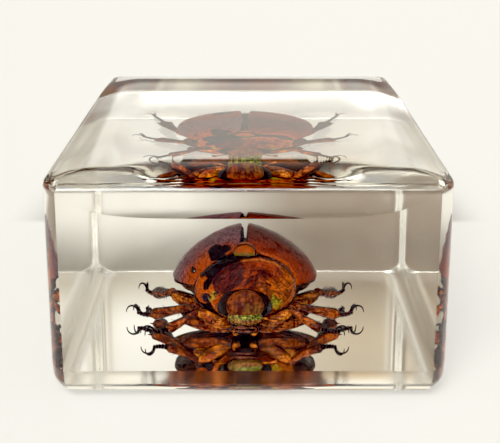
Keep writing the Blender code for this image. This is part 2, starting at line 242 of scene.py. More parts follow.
# The level cuts on the front are bent to the scoop's lower line, then the scoop, the crown, the sag and the
# rear face's draft are pressed in.
for vertex in block.data.vertices:
    x, y, z = vertex.co
    if z > FRONT_CREASE - 0.3 * MM and y < -HALF_LENGTH + 0.01 * MM and z < waist_high - HAIR:
        over = z - FRONT_CREASE
        lift = (crease_at(x) - FRONT_CREASE) * (1.0 - max(over, 0.0) / (waist_high - FRONT_CREASE))
        vertex.co.z += lift * (1.0 if over > -0.1 * MM else 0.5)
    if z > FRONT_CREASE - 0.05 * MM and y < -HALF_LENGTH + 0.7 * MM:
        sunk = 1.0 - math.exp(-max(vertex.co.z - crease_at(x), 0.0) / SCOOP_FALL)
        inward = 1.0 - ease(abs(x) / HALF_WIDTH * 2.2 - 0.95)
        vertex.co.y += SCOOP_DEPTH * sunk * inward
    if z > waist_high - HAIR:
        vertex.co.z += crown_at(x, y)
    if z > SAG_FROM:
        vertex.co.z -= sag_at(y, z)
    at_rear = held((y - HALF_LENGTH + DRAFT_FROM) / DRAFT_OVER)
    vertex.co.y -= REAR_DRAFT * at_rear * (1.0 - min(z / EDGE_HEIGHT, 1.0))


def on_line(vertex):
    """True on the scoop's lower line and on the two lines of the ground facet."""
    x, y, z = vertex.co
    if abs(z - FACET_END) < HAIR:
        return y < -HALF_LENGTH + 0.5 * MM
    at_front = y < -HALF_LENGTH + 0.02 * MM and abs(x) < 12.0 * MM
    return at_front and (abs(z - crease_at(x)) < 0.02 * MM or abs(z - FACET_TOP) < HAIR)


make_smooth(block, 24.0)
open_edit(block)
pick("EDGE", lambda e: all(on_line(v) for v in e.verts))
bpy.ops.mesh.mark_sharp()
close_edit()
weighted = block.modifiers.new("even_normals", "WEIGHTED_NORMAL")
weighted.keep_sharp = True
weighted.weight = 100
apply_modifiers(block)


def feed(value, socket):
    """Links an output into a socket, or sets the socket to a plain value."""
    if isinstance(value, bpy.types.NodeSocket):
        socket.id_data.links.new(value, socket)
    else:
        socket.default_value = value


def maths(nodes, operation, *values, kind="ShaderNodeMath"):
    """A Math node; each value is a number, a vector or an output to link in."""
    node = nodes.new(kind)
    node.operation = operation
    for socket, value in zip(node.inputs, values):
        feed(value, socket)
    plain = kind == "ShaderNodeMath" or operation in ("LENGTH", "DOT_PRODUCT")
    return node.outputs["Value" if plain else "Vector"]


def vector_maths(nodes, operation, *values):
    return maths(nodes, operation, *values, kind="ShaderNodeVectorMath")


def mapped(nodes, value, low, high, start=0.0, end=1.0, smooth=True):
    """Goes from `start` to `end` while a value runs from `low` to `high`."""
    step = nodes.new("ShaderNodeMapRange")
    step.interpolation_type = "SMOOTHSTEP" if smooth else "LINEAR"
    sockets = (("Value", value), ("From Min", low), ("From Max", high), ("To Min", start), ("To Max", end))
    for name, amount in sockets:
        feed(amount, step.inputs[name])
    return step.outputs["Result"]


def soft_step(nodes, value, first, last):
    """0 to 1 while a value goes from `first` to `last`, which may lie either way round."""
    if last > first:
        return mapped(nodes, value, first, last)
    return mapped(nodes, value, last, first, 1.0, 0.0)


def axes_of(nodes, vector):
    """The X, Y and Z of a vector, as sockets."""
    parts = nodes.new("ShaderNodeSeparateXYZ")
    feed(vector, parts.inputs[0])
    return parts.outputs


def new_material(name):
    """A material with its node tree and its Principled shader."""
    made = bpy.data.materials.new(name)
    made.use_nodes = True
    return made, made.node_tree, made.node_tree.nodes["Principled BSDF"]


resin, tree, shader = new_material("clear_resin")
shader.inputs["Base Color"].default_value = (1.0, 1.0, 1.0, 1.0)
shader.inputs["IOR"].default_value = 1.52
shader.inputs["Transmission Weight"].default_value = 1.0
# The front and the top were polished to glass. A softer skin was left on the rear face, the lower side
# edges, the worn slope over the front corners, the ground facet, the rear corners and the rear lower edge.
# Each zone: its roughness, then soft edges as (axis, from, to) in mm.
SKIN_ZONES = (
    (0.10, (("Y", 19.8, 21.2),)),
    (0.24, (("Z", 1.6, 1.0), ("out", 12.0, 12.8), ("Y", -20.5, -18.0))),
    (0.12, (("Y", -18.8, -20.2), ("Z", 15.2, 15.5), ("out", 6.5, 9.0))),
    (0.15, (("Y", -20.6, -21.2), ("Z", 2.42, 2.36), ("Z", 1.0, 1.25))),
    (0.22, (("Y", 20.2, 21.2), ("out", 12.2, 13.1))),
    (0.24, (("Y", 20.4, 21.0), ("Z", 1.8, 0.4))),
)
nodes = tree.nodes
place = axes_of(nodes, nodes.new("ShaderNodeTexCoord").outputs["Object"])
sideways = maths(nodes, "ABSOLUTE", place["X"])
roughness = 0.0
for amount, edges in SKIN_ZONES:
    for axis, first, last in edges:
        value = sideways if axis == "out" else place[axis]
        amount = maths(nodes, "MULTIPLY", soft_step(nodes, value, first * MM, last * MM), amount)
    roughness = maths(nodes, "MAXIMUM", amount, roughness)
feed(roughness, shader.inputs["Roughness"])
tint = nodes.new("ShaderNodeVolumeAbsorption")
tint.inputs["Color"].default_value = (1.0, 0.985, 0.93, 1.0)
tint.inputs["Density"].default_value = 30.0
feed(tint.outputs["Volume"], nodes["Material Output"].inputs["Volume"])
block.data.materials.append(resin)
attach(block, "root")
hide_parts("resin_block_lower", "resin_block_upper")

# ------------------------------------------------------------------ wing cases
# Two arched shells of hard red-brown chitin that cover the beetle's back. They were left a little open along
# the seam when the beetle was set, and the left one is torn along it. Each has a rolled outer rim, faint
# lengthwise ribs and fine pits.
BODY_X = -0.3 * MM
WING_BASE, WING_CREST_Y, WING_TIP = -1.7 * MM, 2.2 * MM, 8.5 * MM
WING_WIDEST_Y = 0.5 * MM
WING_HALF, WING_LEAST = 5.78 * MM, 0.9 * MM
WING_TOP, WING_RIM = 8.2 * MM, 3.9 * MM
WIDTH_POWER, RISE_POWER, ARCH_POWER = 2.3, 1.85, 1.52
# How far the curves of its width and its rise run before the crest, and how far both run behind it.
WIDTH_AHEAD, RISE_AHEAD, BEHIND = 5.4 * MM, 5.9 * MM, 6.4 * MM
SEAM_START, SEAM_WIDENS, TORN_TO = 0.06, 0.42, 0.34
RIB, RIBS, RIM, HEM, TEAR = 0.02 * MM, 9.0, 0.09 * MM, 0.05 * MM, 0.16 * MM
WING_WALL = 0.26 * MM
WING_ACROSS, WING_ALONG = 30, 44
SIDES = ((-1, "left"), (1, "right"))


def bow(value, power):
    return max(1.0 - abs(value) ** power, 0.0) ** (1.0 / power)


def wing_point(side, across, along):
    """A point of the wing case: `across` runs from the seam (0) to the rim (1), `along` from base to tip."""
    y = WING_BASE + (WING_TIP - WING_BASE) * along
    reach = WIDTH_AHEAD if y < WING_CREST_Y + WING_WIDEST_Y else BEHIND - WING_WIDEST_Y
    width = WING_HALF * bow((y - WING_CREST_Y - WING_WIDEST_Y) / reach, WIDTH_POWER)
    reach = RISE_AHEAD if y < WING_CREST_Y else BEHIND
    rise = (WING_TOP - WING_RIM) * bow((y - WING_CREST_Y) / reach, RISE_POWER)
    width = max(width, WING_LEAST)
    seam = (SEAM_START + SEAM_WIDENS * along**0.8) * MM
    if side < 0 and along < TORN_TO and round(along * WING_ALONG) % 2:
        seam -= TEAR * ease(along / 0.1)
    x = seam + (width - seam) * math.sin(across * math.pi / 2) ** 0.92
    arch = bow(x / width, ARCH_POWER)
    rib = RIB * math.cos(x / width * RIBS * math.pi) * min(arch * 3.0, 1.0)
    rim = RIM * ease((across - 0.93) / 0.05)
    hem = HEM * ease((0.05 - across) / 0.04)
    return Vector((BODY_X + side * (x + rim), y, WING_RIM + rise * arch + rib + hem))


def edit_all(obj, operator, **how):
    """Runs one edit-mode operator on the whole of an object's mesh."""
    open_edit(obj)
    bpy.ops.mesh.select_all(action="SELECT")
    operator(**how)
    close_edit()


def sheet(name, across, along, point_at):
    """A grid whose points `point_at` places, by their shares across and along it."""
    made = added(
        bpy.ops.mesh.primitive_grid_add, name, x_subdivisions=across, y_subdivisions=along, size=1.0
    )
    for vertex in made.data.vertices:
        vertex.co = point_at(vertex.co.x + 0.5, vertex.co.y + 0.5)
    return made


def settle(obj):
    """Gives a finished beetle piece its place among the CAD bodies."""
    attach(obj, "root")
    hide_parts("beetle")


def value_group(name, inputs, outputs):
    """An empty shader node group with these sockets: its tree, what comes in and what goes out."""
    group = bpy.data.node_groups.new(name, "ShaderNodeTree")
    for way, sockets in (("INPUT", inputs), ("OUTPUT", outputs)):
        for socket in sockets.split():
            kind = "NodeSocketVector" if socket in ("Centre", "Reach") else "NodeSocketFloat"
            group.interface.new_socket(name=socket, in_out=way, socket_type=kind)
    return group, group.nodes.new("NodeGroupInput").outputs, group.nodes.new("NodeGroupOutput").inputs


def noise_at(nodes, vector, scale, detail, roughness=0.5, distortion=0.0):
    noise = nodes.new("ShaderNodeTexNoise")
    for name, value in (
        ("Vector", vector), ("Scale", scale), ("Detail", detail), ("Roughness", roughness),
        ("Distortion", distortion),
    ):
        feed(value, noise.inputs[name])
    return noise.outputs


# Stain: a patch of another colour round a point of the piece, turned about Y, with a ragged outline. With a
# Hollow over 0 it is a ring. Streaked takes it back in lines that run along its own X axis.
stain_group, given, result = value_group("stain", "Centre Reach Turn Hollow Ragged Grain Soft Streaked", "Mask")
nodes = stain_group.nodes
spot = nodes.new("ShaderNodeTexCoord").outputs["Object"]
rough_line = noise_at(nodes, spot, given["Grain"], 4.0)["Color"]
pushed = vector_maths(nodes, "SUBTRACT", rough_line, (0.5, 0.5, 0.5))
pushed = vector_maths(nodes, "MULTIPLY", pushed, given["Ragged"])
bent = vector_maths(nodes, "ADD", vector_maths(nodes, "SUBTRACT", spot, given["Centre"]), pushed)
turned = nodes.new("ShaderNodeVectorRotate")
turned.rotation_type = "Y_AXIS"
feed(bent, turned.inputs["Vector"])
feed(given["Turn"], turned.inputs["Angle"])
bent = turned.outputs["Vector"]
distance = vector_maths(nodes, "LENGTH", vector_maths(nodes, "DIVIDE", bent, given["Reach"]))
mask = 1.0
for middle, start, end in ((1.0, 1.0, 0.0), (given["Hollow"], 0.0, 1.0)):
    low = maths(nodes, "SUBTRACT", middle, given["Soft"])
    high = maths(nodes, "ADD", middle, given["Soft"])
    mask = maths(nodes, "MULTIPLY", mapped(nodes, distance, low, high, start, end), mask)
STREAKS = (500.0, 500.0, 3200.0)
lines = noise_at(nodes, vector_maths(nodes, "MULTIPLY", bent, STREAKS), 1.0, 3.0, distortion=0.6)["Fac"]
missing = maths(nodes, "MULTIPLY", soft_step(nodes, lines, 0.44, 0.54), given["Streaked"])
feed(maths(nodes, "MULTIPLY", mask, maths(nodes, "SUBTRACT", 1.0, missing)), result["Mask"])

# Cuticle: the mottling, speckle and fine pits that all the chitin shares, pale dusty specks that are partly painted
# glints, and painted shade on the upright edges.
cuticle_group, given, result = value_group("cuticle", "Pits Mottle", "Height Tone Dust Speckle Side Upward")
nodes = cuticle_group.nodes
spot = nodes.new("ShaderNodeTexCoord").outputs
pits = nodes.new("ShaderNodeTexVoronoi")
feed(spot["Object"], pits.inputs["Vector"])
feed(given["Pits"], pits.inputs["Scale"])
pit = soft_step(nodes, pits.outputs["Distance"], 0.0, 0.35)
mottle = noise_at(nodes, spot["Object"], given["Mottle"], 6.0, roughness=0.66)["Fac"]
specks = noise_at(nodes, spot["Object"], 5200.0, 3.0)["Fac"]
facing = axes_of(nodes, spot["Normal"])
feed(maths(nodes, "MULTIPLY_ADD", mottle, 0.6, pit), result["Height"])
for name, value, first, last in (
    ("Tone", mottle, 0.40, 0.60),
    ("Dust", specks, 0.68, 0.75),
    ("Speckle", specks, 0.54, 0.42),
    ("Side", maths(nodes, "ABSOLUTE", facing["Y"]), 0.50, 0.14),
    ("Upward", facing["Z"], 0.0, 0.32),
):
    feed(soft_step(nodes, value, first, last), result[name])

# Where a colour Mix node keeps its factor, its two colours and its result.
MIX_SHARE, MIX_BELOW, MIX_ABOVE, MIX_RESULT = 0, 6, 7, 2


def tinted(tree, below, colour, mask, strength=1.0):
    """Lays a colour over another where the mask is, and gives back the new colour's socket."""
    mix = tree.nodes.new("ShaderNodeMix")
    mix.data_type = "RGBA"
    feed(maths(tree.nodes, "MULTIPLY", mask, strength), mix.inputs[MIX_SHARE])
    for value, at in ((below, MIX_BELOW), (colour, MIX_ABOVE)):
        feed(value if isinstance(value, bpy.types.NodeSocket) else (*value, 1.0), mix.inputs[at])
    return mix.outputs[MIX_RESULT]


def grouped(tree, group, **values):
    """Places a node group with these values, and gives back its outputs."""
    node = tree.nodes.new("ShaderNodeGroup")
    node.node_tree = group
    for socket, value in values.items():
        node.inputs[socket].default_value = value
    return node.outputs


ALL_ALONG = 60.0


def stain(
    centre, reach, colour, turn=0.0, hollow=-1.0, ragged=0.2, grain=900.0, soft=0.15, streaked=0.0, strength=1.0
):
    """One stain of a material, in mm and degrees. A reach of two values, X and Z, runs all along Y."""
    if len(reach) == 2:
        reach = (reach[0], ALL_ALONG, reach[1])
    return colour, strength, {
        "Centre": [c * MM for c in centre], "Reach": [r * MM for r in reach], "Turn": math.radians(turn),
        "Hollow": hollow, "Ragged": ragged * MM, "Grain": grain, "Soft": soft, "Streaked": streaked,
    }


def chitin(
    name, light, dark, stains=(), roughness=0.32, relief=0.012, pits=2600.0, mottle=620.0, gloss=0.12, metal=0.0,
    ends=None, edge=0.0, under=None, speckle=0.6, dust=0.3,
):
    """Mottled chitin with its stains.

    `ends` darkens a limb towards its joints, `edge` sets the painted shade on the upright sides of a piece, and
    `under` colours its underside.
    """
    made, tree, shader = new_material(name)
    cuticle = grouped(tree, cuticle_group, Pits=pits, Mottle=mottle)
    colour = tinted(tree, dark, light, cuticle["Tone"])
    if under is not None:
        colour = tinted(tree, under, colour, cuticle["Upward"])
    for stain_colour, strength, values in stains:
        colour = tinted(tree, colour, stain_colour, grouped(tree, stain_group, **values)["Mask"], strength)
    if ends is not None:
        attribute = tree.nodes.new("ShaderNodeAttribute")
        attribute.attribute_name = "joint"
        colour = tinted(tree, colour, ends, attribute.outputs["Fac"], 0.9)
    # Painted shade on the upright sides, dark speckle, and pale dusty specks that are partly painted glints.
    for mask, shade, strength in (
        ("Side", (0.02, 0.006, 0.004), edge),
        ("Speckle", (0.015, 0.005, 0.004), speckle),
        ("Dust", (0.55, 0.47, 0.42), dust),
    ):
        colour = tinted(tree, colour, shade, cuticle[mask], strength)
    feed(colour, shader.inputs["Base Color"])
    rough = mapped(tree.nodes, cuticle["Tone"], 0.0, 1.0, roughness * 0.75, roughness * 1.3, smooth=False)
    feed(rough, shader.inputs["Roughness"])
    bump = tree.nodes.new("ShaderNodeBump")
    bump.inputs["Strength"].default_value = 0.6
    bump.inputs["Distance"].default_value = relief * MM
    feed(cuticle["Height"], bump.inputs["Height"])
    feed(bump.outputs["Normal"], shader.inputs["Normal"])
    shader.inputs["Specular IOR Level"].default_value = gloss * 0.4
    shader.inputs["Metallic"].default_value = metal
    return made


BROWN_LIGHT, BROWN_DARK = (0.30, 0.036, 0.004), (0.15, 0.014, 0.003)
ORANGE, RUST, SHADED_SHEEN_RED = (0.56, 0.095, 0.004), (0.36, 0.044, 0.003), (0.135, 0.028, 0.020)
PAINTED_MAUVE_SHEEN, OXBLOOD, BLACK = (0.24, 0.115, 0.135), (0.07, 0.009, 0.005), (0.006, 0.003, 0.004)
# Bands follow the shield's hind edge over both wing cases: the shield's painted shadow in black right behind it,
# and towards the rim an outer band of painted sheen, mauve on the left wing case where the light falls and a dimmer
# dull red on the shaded right one.
SHIELD_AT = (-0.25, 2.0, 3.75)
# Behind the crest both wing cases are the same even rust.
REAR_RUST = stain((-0.3, 9.0, 5.0), (12.0, 6.2, 9.0), RUST, soft=0.15, ragged=0.6, strength=0.85)
right_wing_finish = chitin(
    "wing_case_chitin", BROWN_LIGHT, BROWN_DARK, mottle=700.0, relief=0.02, pits=3400.0, gloss=0.15, edge=0.35,
    stains=(
        stain(SHIELD_AT, (4.5, 3.2), RUST, soft=0.10, ragged=0.5),
        # Painted sheen, dimmer on this shaded side: a dull red band towards the rim.
        stain(SHIELD_AT, (9.0, 6.4), SHADED_SHEEN_RED, hollow=0.59, soft=0.07, strength=0.9),
        REAR_RUST,
        stain((5.0, 2.0, 4.3), (0.75, 0.9), RUST, soft=0.5, strength=0.9),
        # A thin orange band of painted light along the lit base, then the shield's painted shadow.
        stain(SHIELD_AT, (4.26, 3.03), ORANGE, soft=0.02, ragged=0.08, strength=0.8),
        stain(SHIELD_AT, (4.02, 2.84), BLACK, soft=0.015, ragged=0.12),
        # Painted shade in the open seam.
        stain((-0.25, 0.0, 7.5), (0.20, 0.9), BLACK, soft=0.1),
    ),
)
left_wing_finish = chitin(
    "left_wing_case_chitin", BROWN_LIGHT, BROWN_DARK, mottle=700.0, relief=0.02, pits=3400.0, gloss=0.15,
    # More pale dusty specks here, partly painted glints.
    edge=0.25, dust=0.45,
    stains=(
        # A lighter base, painted light on this side where the light falls, and the outer band of painted mauve
        # sheen.
        stain(SHIELD_AT, (5.0, 3.55), (0.44, 0.070, 0.004), soft=0.07, ragged=0.4, strength=0.85),
        stain(SHIELD_AT, (9.0, 6.4), PAINTED_MAUVE_SHEEN, hollow=0.56, soft=0.06, ragged=0.6, strength=0.95),
        REAR_RUST,
        # The shield's painted shadow: a black ring and a black patch right behind its hind edge.
        stain(SHIELD_AT, (4.34, 2.84), BLACK, turn=14.0, hollow=0.975, soft=0.012, ragged=0.1),
        stain(SHIELD_AT, (4.12, 2.64), BLACK, turn=14.0, soft=0.015, ragged=0.15),
        stain((-2.52, 0.0, 6.44), (0.72, 0.56), BLACK, turn=10.0, soft=0.05, ragged=0.55, grain=1400.0),
        stain((-1.85, 0.0, 6.82), (0.52, 0.20), BLACK, turn=14.0, soft=0.06, ragged=0.4),
        stain((-4.35, 0.0, 5.05), (0.17, 0.25), BLACK, ragged=0.4),
        # A painted glint on the small black spot.
        stain((-4.30, 0.0, 4.98), (0.05, 0.05), (0.9, 0.88, 0.85), ragged=0.05),
        # Painted shade in the open seam.
        stain((-0.35, 0.0, 7.4), (0.34, 0.85), BLACK, soft=0.1, ragged=0.5),
    ),
)
for (side, hand), finish in zip(SIDES, (left_wing_finish, right_wing_finish)):
    wing = sheet(f"{hand}_wing_case", WING_ACROSS, WING_ALONG, lambda u, v: wing_point(side, u, v))
    if side < 0:
        edit_all(wing, bpy.ops.mesh.flip_normals)
    wing.modifiers.new("wall", "SOLIDIFY").thickness = WING_WALL
    finer = wing.modifiers.new("finer", "SUBSURF")
    finer.levels = finer.render_levels = 1
    apply_modifiers(wing)
    make_smooth(wing, 60.0)
    wing.data.materials.append(finish)
    settle(wing)

# ------------------------------------------------------------------ belly and breast
# The soft parts under the wing cases: a ringed abdomen, a breast with a keel between the legs, a ridge under
# the seam, two broad red plates over the hind legs, and the blackish folds of the hind wings that show at
# both sides. All dried chitin.
belly_finish = chitin(
    "belly_chitin", (0.20, 0.050, 0.012), (0.014, 0.005, 0.004), roughness=0.4, relief=0.03, mottle=1300.0,
    # Painted shade: black under the front of the breast, between the front legs.
    gloss=0.03, stains=(stain((-0.3, -2.4, 0.6), (1.5, 2.6, 1.6), BLACK, soft=0.3, strength=0.95),),
)


def lump(
    name, centre, radii, finish, turn=(0.0, 0.0, 0.0), around=32, rings=20, shape=None, alone=True
):
    """A body part from a UV sphere at its size and place, in mm. `shape` bends its unit points first."""
    part = added(bpy.ops.mesh.primitive_uv_sphere_add, name, segments=around, ring_count=rings, radius=1.0)
    if shape is not None:
        for vertex in part.data.vertices:
            vertex.co = shape(vertex.co.copy())
    part.location = [c * MM for c in centre]
    part.rotation_euler = [math.radians(t) for t in turn]
    part.scale = [r * MM for r in radii]
    place_in_mesh(part)
    make_smooth(part, 80.0)
    part.data.materials.append(finish)
    if alone:
        settle(part)
    return part


def belly_rings(p):
    """Seven belly plates: each plate's rear edge stands out over the next."""
    step = (p.y * 3.6) % 1.0
    swell = 1.0 + 0.035 * step
    return Vector((p.x * swell, p.y, p.z * swell))


def breast_keel(p):
    """The breast narrows to a low keel down its middle and is drawn in between the leg sockets."""
    pinch = 1.0 - 0.16 * abs(math.sin(p.y * 4.2))
    return Vector((p.x * pinch, p.y, p.z * (1.0 + 0.18 * math.exp(-(p.x * 4.0) ** 2))))


lump("abdomen", (-0.3, 3.4, 3.3), (4.9, 4.7, 2.0), belly_finish, around=48, rings=64, shape=belly_rings)
lump("wing_root_body", (-0.3, -0.4, 2.9), (4.1, 3.3, 2.0), belly_finish, around=40, rings=24)
lump("breast", (-0.3, -0.8, 1.42), (2.7, 3.0, 1.0), belly_finish, around=40, rings=28, shape=breast_keel)
lump("tail_plate", (-0.3, 6.9, 3.1), (2.6, 1.8, 1.3), belly_finish, around=28, rings=18)
lump("thorax_ridge", (-0.38, 0.3, 6.5), (0.5, 1.6, 0.95), belly_finish, around=20, rings=14)


def plate_form(p):
    """A broad flat plate with two grooves that run outward."""
    groove = 1.0 - 0.10 * math.exp(-((p.y - 0.25) * 9.0) ** 2) - 0.10 * math.exp(-((p.y + 0.35) * 9.0) ** 2)
    return Vector((p.x, p.y, p.z * groove))


plate_finish = chitin(
    "coxal_plate_red", (0.34, 0.060, 0.006), (0.035, 0.007, 0.005), mottle=1100.0, relief=0.03, edge=0.35,
    roughness=0.3, speckle=0.8,
    stains=[
        stain((x, 0.0, 0.9), (3.0, 2.0), BLACK, turn=turn, streaked=1.0, strength=0.8)
        for x, turn in ((2.4, 24.0), (-3.0, -24.0))
    ],
)
for side, hand in SIDES:
    lump(
        f"{hand}_coxal_plate", (-0.3 + side * 2.6, 0.0, 0.98), (2.75, 1.9, 0.84), plate_finish,
        turn=(0.0, side * -9.0, side * 8.0), around=36, rings=24, shape=plate_form,
    )

FOLD_ACROSS, FOLD_ALONG, FOLD_WALL = 12, 14, 0.16 * MM
fold_finish = chitin(
    "hind_wing_fold", (0.10, 0.035, 0.012), (0.012, 0.006, 0.007), roughness=0.3, mottle=1500.0, relief=0.03,
)


def fold_point(side, drop, u, v):
    """A point of a hind wing's fold: it rises outward and is softly pleated."""
    x = BODY_X + side * (3.6 + 2.15 * u * bow(2.0 * v - 1.0, 2.6)) * MM
    y = (-0.6 + 6.0 * v) * MM
    z = (2.5 + 1.15 * u + drop * u + 0.10 * math.cos(u * 14.0 + v * 2.0)) * MM
    return Vector((x, y, z))


for (side, hand), drop in zip(SIDES, (0.0, 0.25)):
    fold = sheet(f"{hand}_wing_fold", FOLD_ACROSS, FOLD_ALONG, lambda u, v: fold_point(side, drop, u, v))
    fold.modifiers.new("wall", "SOLIDIFY").thickness = FOLD_WALL
    apply_modifiers(fold)
    edit_all(fold, bpy.ops.mesh.normals_make_consistent, inside=False)
    make_smooth(fold, 60.0)
    fold.data.materials.append(fold_finish)
    settle(fold)

# ------------------------------------------------------------------ pronotum and scutellum
# The shield behind the head: one polished dome, orange where the light shows through it and wine-red to black where
# it is thick or wet, with painted shadow in black round its rim where it meets the wing cases. Behind it a small
# shield closes the seam. The dome was set a little askew.
WINE, GREEN_GOLD, INK = (0.13, 0.016, 0.010), (0.40, 0.42, 0.03), (0.012, 0.006, 0.022)
RING_AT = (0.35, -3.3, 3.65)
pronotum_finish = chitin(
    "pronotum_chitin", (0.58, 0.085, 0.003), (0.20, 0.020, 0.002), mottle=900.0, gloss=0.10, roughness=0.24,
    edge=0.1,
    stains=(
        stain((2.3, -3.3, 3.7), (1.7, 1.5), (0.68, 0.16, 0.005), soft=0.4, strength=0.75),
        stain((1.2, -3.3, 5.5), (1.6, 0.55), RUST, turn=-12.0, soft=0.3, strength=0.8),
        stain(RING_AT, (3.36, 2.68), (0.60, 0.17, 0.02), hollow=0.965, soft=0.01, ragged=0.1),
        stain((-0.6, -3.3, 4.75), (1.7, 1.15), OXBLOOD, turn=38.0, streaked=0.9, ragged=0.7),
        stain((1.15, -3.3, 5.0), (0.85, 0.62), OXBLOOD, turn=-35.0, streaked=0.9, ragged=0.6),
        stain((2.2, -3.3, 4.3), (1.5, 1.5), OXBLOOD, turn=-50.0, streaked=1.0, ragged=0.3, strength=0.7),
        stain((-1.9, -3.3, 4.95), (1.75, 0.95), WINE, turn=38.0, soft=0.08, ragged=0.8),
        stain((-1.9, -3.3, 4.9), (1.9, 1.1), BLACK, turn=42.0, streaked=1.0, ragged=0.5, strength=0.7),
        # Painted shadow: black all round the dome's rim, where it meets the wing cases.
        stain(RING_AT, (10.3, 8.2), BLACK, hollow=0.333, soft=0.006, ragged=0.35),
        stain((-3.55, -3.3, 3.85), (0.80, 1.05), ORANGE, turn=-18.0, soft=0.08, ragged=0.6),
        stain((-3.2, -3.3, 4.5), (0.55, 0.28), BLACK, turn=60.0, soft=0.08, ragged=0.4),
        stain((-3.3, -3.5, 3.42), (0.36, 0.46), INK, turn=8.0, soft=0.08, ragged=0.8),
        stain(
            (-2.78, -3.9, 3.42), (0.20, 0.45), GREEN_GOLD, turn=-15.0, ragged=1.4, grain=3600.0, streaked=0.6
        ),
        stain(
            (2.05, -4.0, 2.95), (0.36, 0.60), GREEN_GOLD, turn=25.0, soft=0.4, ragged=1.8, grain=4200.0,
            strength=0.8,
        ),
    ),
)


def pronotum_form(p):
    """A dome with a rolled hind rim, a shallow groove inside it and faint creases to its right."""
    back = ease((p.y - 0.15) / 0.25) * ease((0.62 - p.y) / 0.2)
    crease = 0.010 * math.sin(18.0 * (p.x - 0.5 * p.z)) * ease((p.x - 0.1) / 0.3)
    swell = 1.0 + 0.02 * back + crease * ease(-p.y / 0.3)
    return p * swell


lump(
    "pronotum", (-0.25, -1.7, 3.7), (4.0, 2.6, 2.8), pronotum_finish, turn=(14.0, -4.0, 0.0),
    around=72, rings=48, shape=pronotum_form,
)
scutellum_finish = chitin(
    "scutellum_chitin", (0.48, 0.095, 0.004), (0.30, 0.050, 0.003), roughness=0.28, speckle=0.2,
    stains=(
        stain((-0.3, -2.9, 6.66), (1.1, 0.13), (0.10, 0.12, 0.012), ragged=0.5, soft=0.5, strength=0.8),
        # Painted shade: a black band low down and a black ring round the outline, where it meets the shield and the
        # wing cases.
        stain((-0.3, -2.9, 6.42), (1.2, 0.16), BLACK, soft=0.3),
        stain((-0.33, -2.0, 6.72), (0.95, 0.66), BLACK, hollow=0.88, soft=0.03, ragged=0.1),
    ),
)


def scutellum_form(p):
    """A rounded triangle that narrows to the seam."""
    return Vector((p.x * (1.0 - 0.35 * ease((p.y + 0.2) / 1.2)), p.y, p.z))


lump(
    "scutellum", (-0.3, -1.75, 6.72), (0.98, 1.0, 0.60), scutellum_finish, turn=(30.0, 0.0, 0.0),
    around=32, rings=20, shape=scutellum_form,
)

# ------------------------------------------------------------------ head
# A head capsule sunk under the shield and painted black, a painted shade that rings the face, with an oval brown
# face plate, a green-gold shovel-shaped clypeus that sparkles like metal, a glossy eye at each side, two red lips
# and black mouthparts under it.
shade_and_mouth_black = chitin(
    "head_black", (0.014, 0.006, 0.004), (0.004, 0.002, 0.002), roughness=0.2, gloss=0.12, dust=0.05,
)
face_finish = chitin(
    "face_brown", (0.30, 0.060, 0.006), (0.070, 0.014, 0.004), mottle=1900.0, relief=0.03, roughness=0.3,
    stains=(
        stain((0.35, -5.1, 2.75), (0.75, 0.5), (0.20, 0.10, 0.02), soft=0.5, strength=0.7),
        stain((-0.3, -5.0, 3.75), (1.3, 0.3), (0.26, 0.055, 0.006), soft=0.5, strength=0.8),
        stain((-0.3, -5.0, 3.1), (1.1, 0.8), OXBLOOD, turn=80.0, streaked=1.0, strength=0.8),
    ),
)
clypeus_finish = chitin(
    "clypeus_green_gold", (0.40, 0.40, 0.02), (0.010, 0.050, 0.010), mottle=8200.0, pits=5200.0, relief=0.06,
    roughness=0.25, gloss=0.4, metal=0.2, under=(0.30, 0.085, 0.008), speckle=0.85,
    stains=(
        stain((-1.3, -5.2, 1.9), (0.7, 0.5), (0.28, 0.14, 0.02), soft=0.5, strength=0.7),
        stain((-0.3, -5.2, 1.45), (1.5, 0.25), (0.26, 0.12, 0.01), soft=0.5, strength=0.8),
    ),
)
eye_finish = chitin(
    "eye_black", (0.012, 0.010, 0.012), (0.004, 0.004, 0.005), roughness=0.08, gloss=0.8, pits=9000.0, relief=0.006,
)
mouth_finish = chitin(
    "mouthparts_red", (0.36, 0.11, 0.05), (0.07, 0.014, 0.008), roughness=0.25, mottle=2200.0, gloss=0.35,
)


def face_form(p):
    """Flat-browed, with a dent on each side of the middle."""
    dent = 0.08 * math.exp(-((abs(p.x) - 0.4) ** 2) * 14.0 - (p.z * 2.2) ** 2)
    return Vector((p.x, p.y + dent, p.z))


def clypeus_form(p):
    """A shovel blade: thin and nearly straight along its free edge, with a raised lip."""
    low = ease((-p.z - 0.1) / 0.7)
    return Vector((p.x * (1.0 + 0.08 * low), p.y - 0.14 * low, p.z))


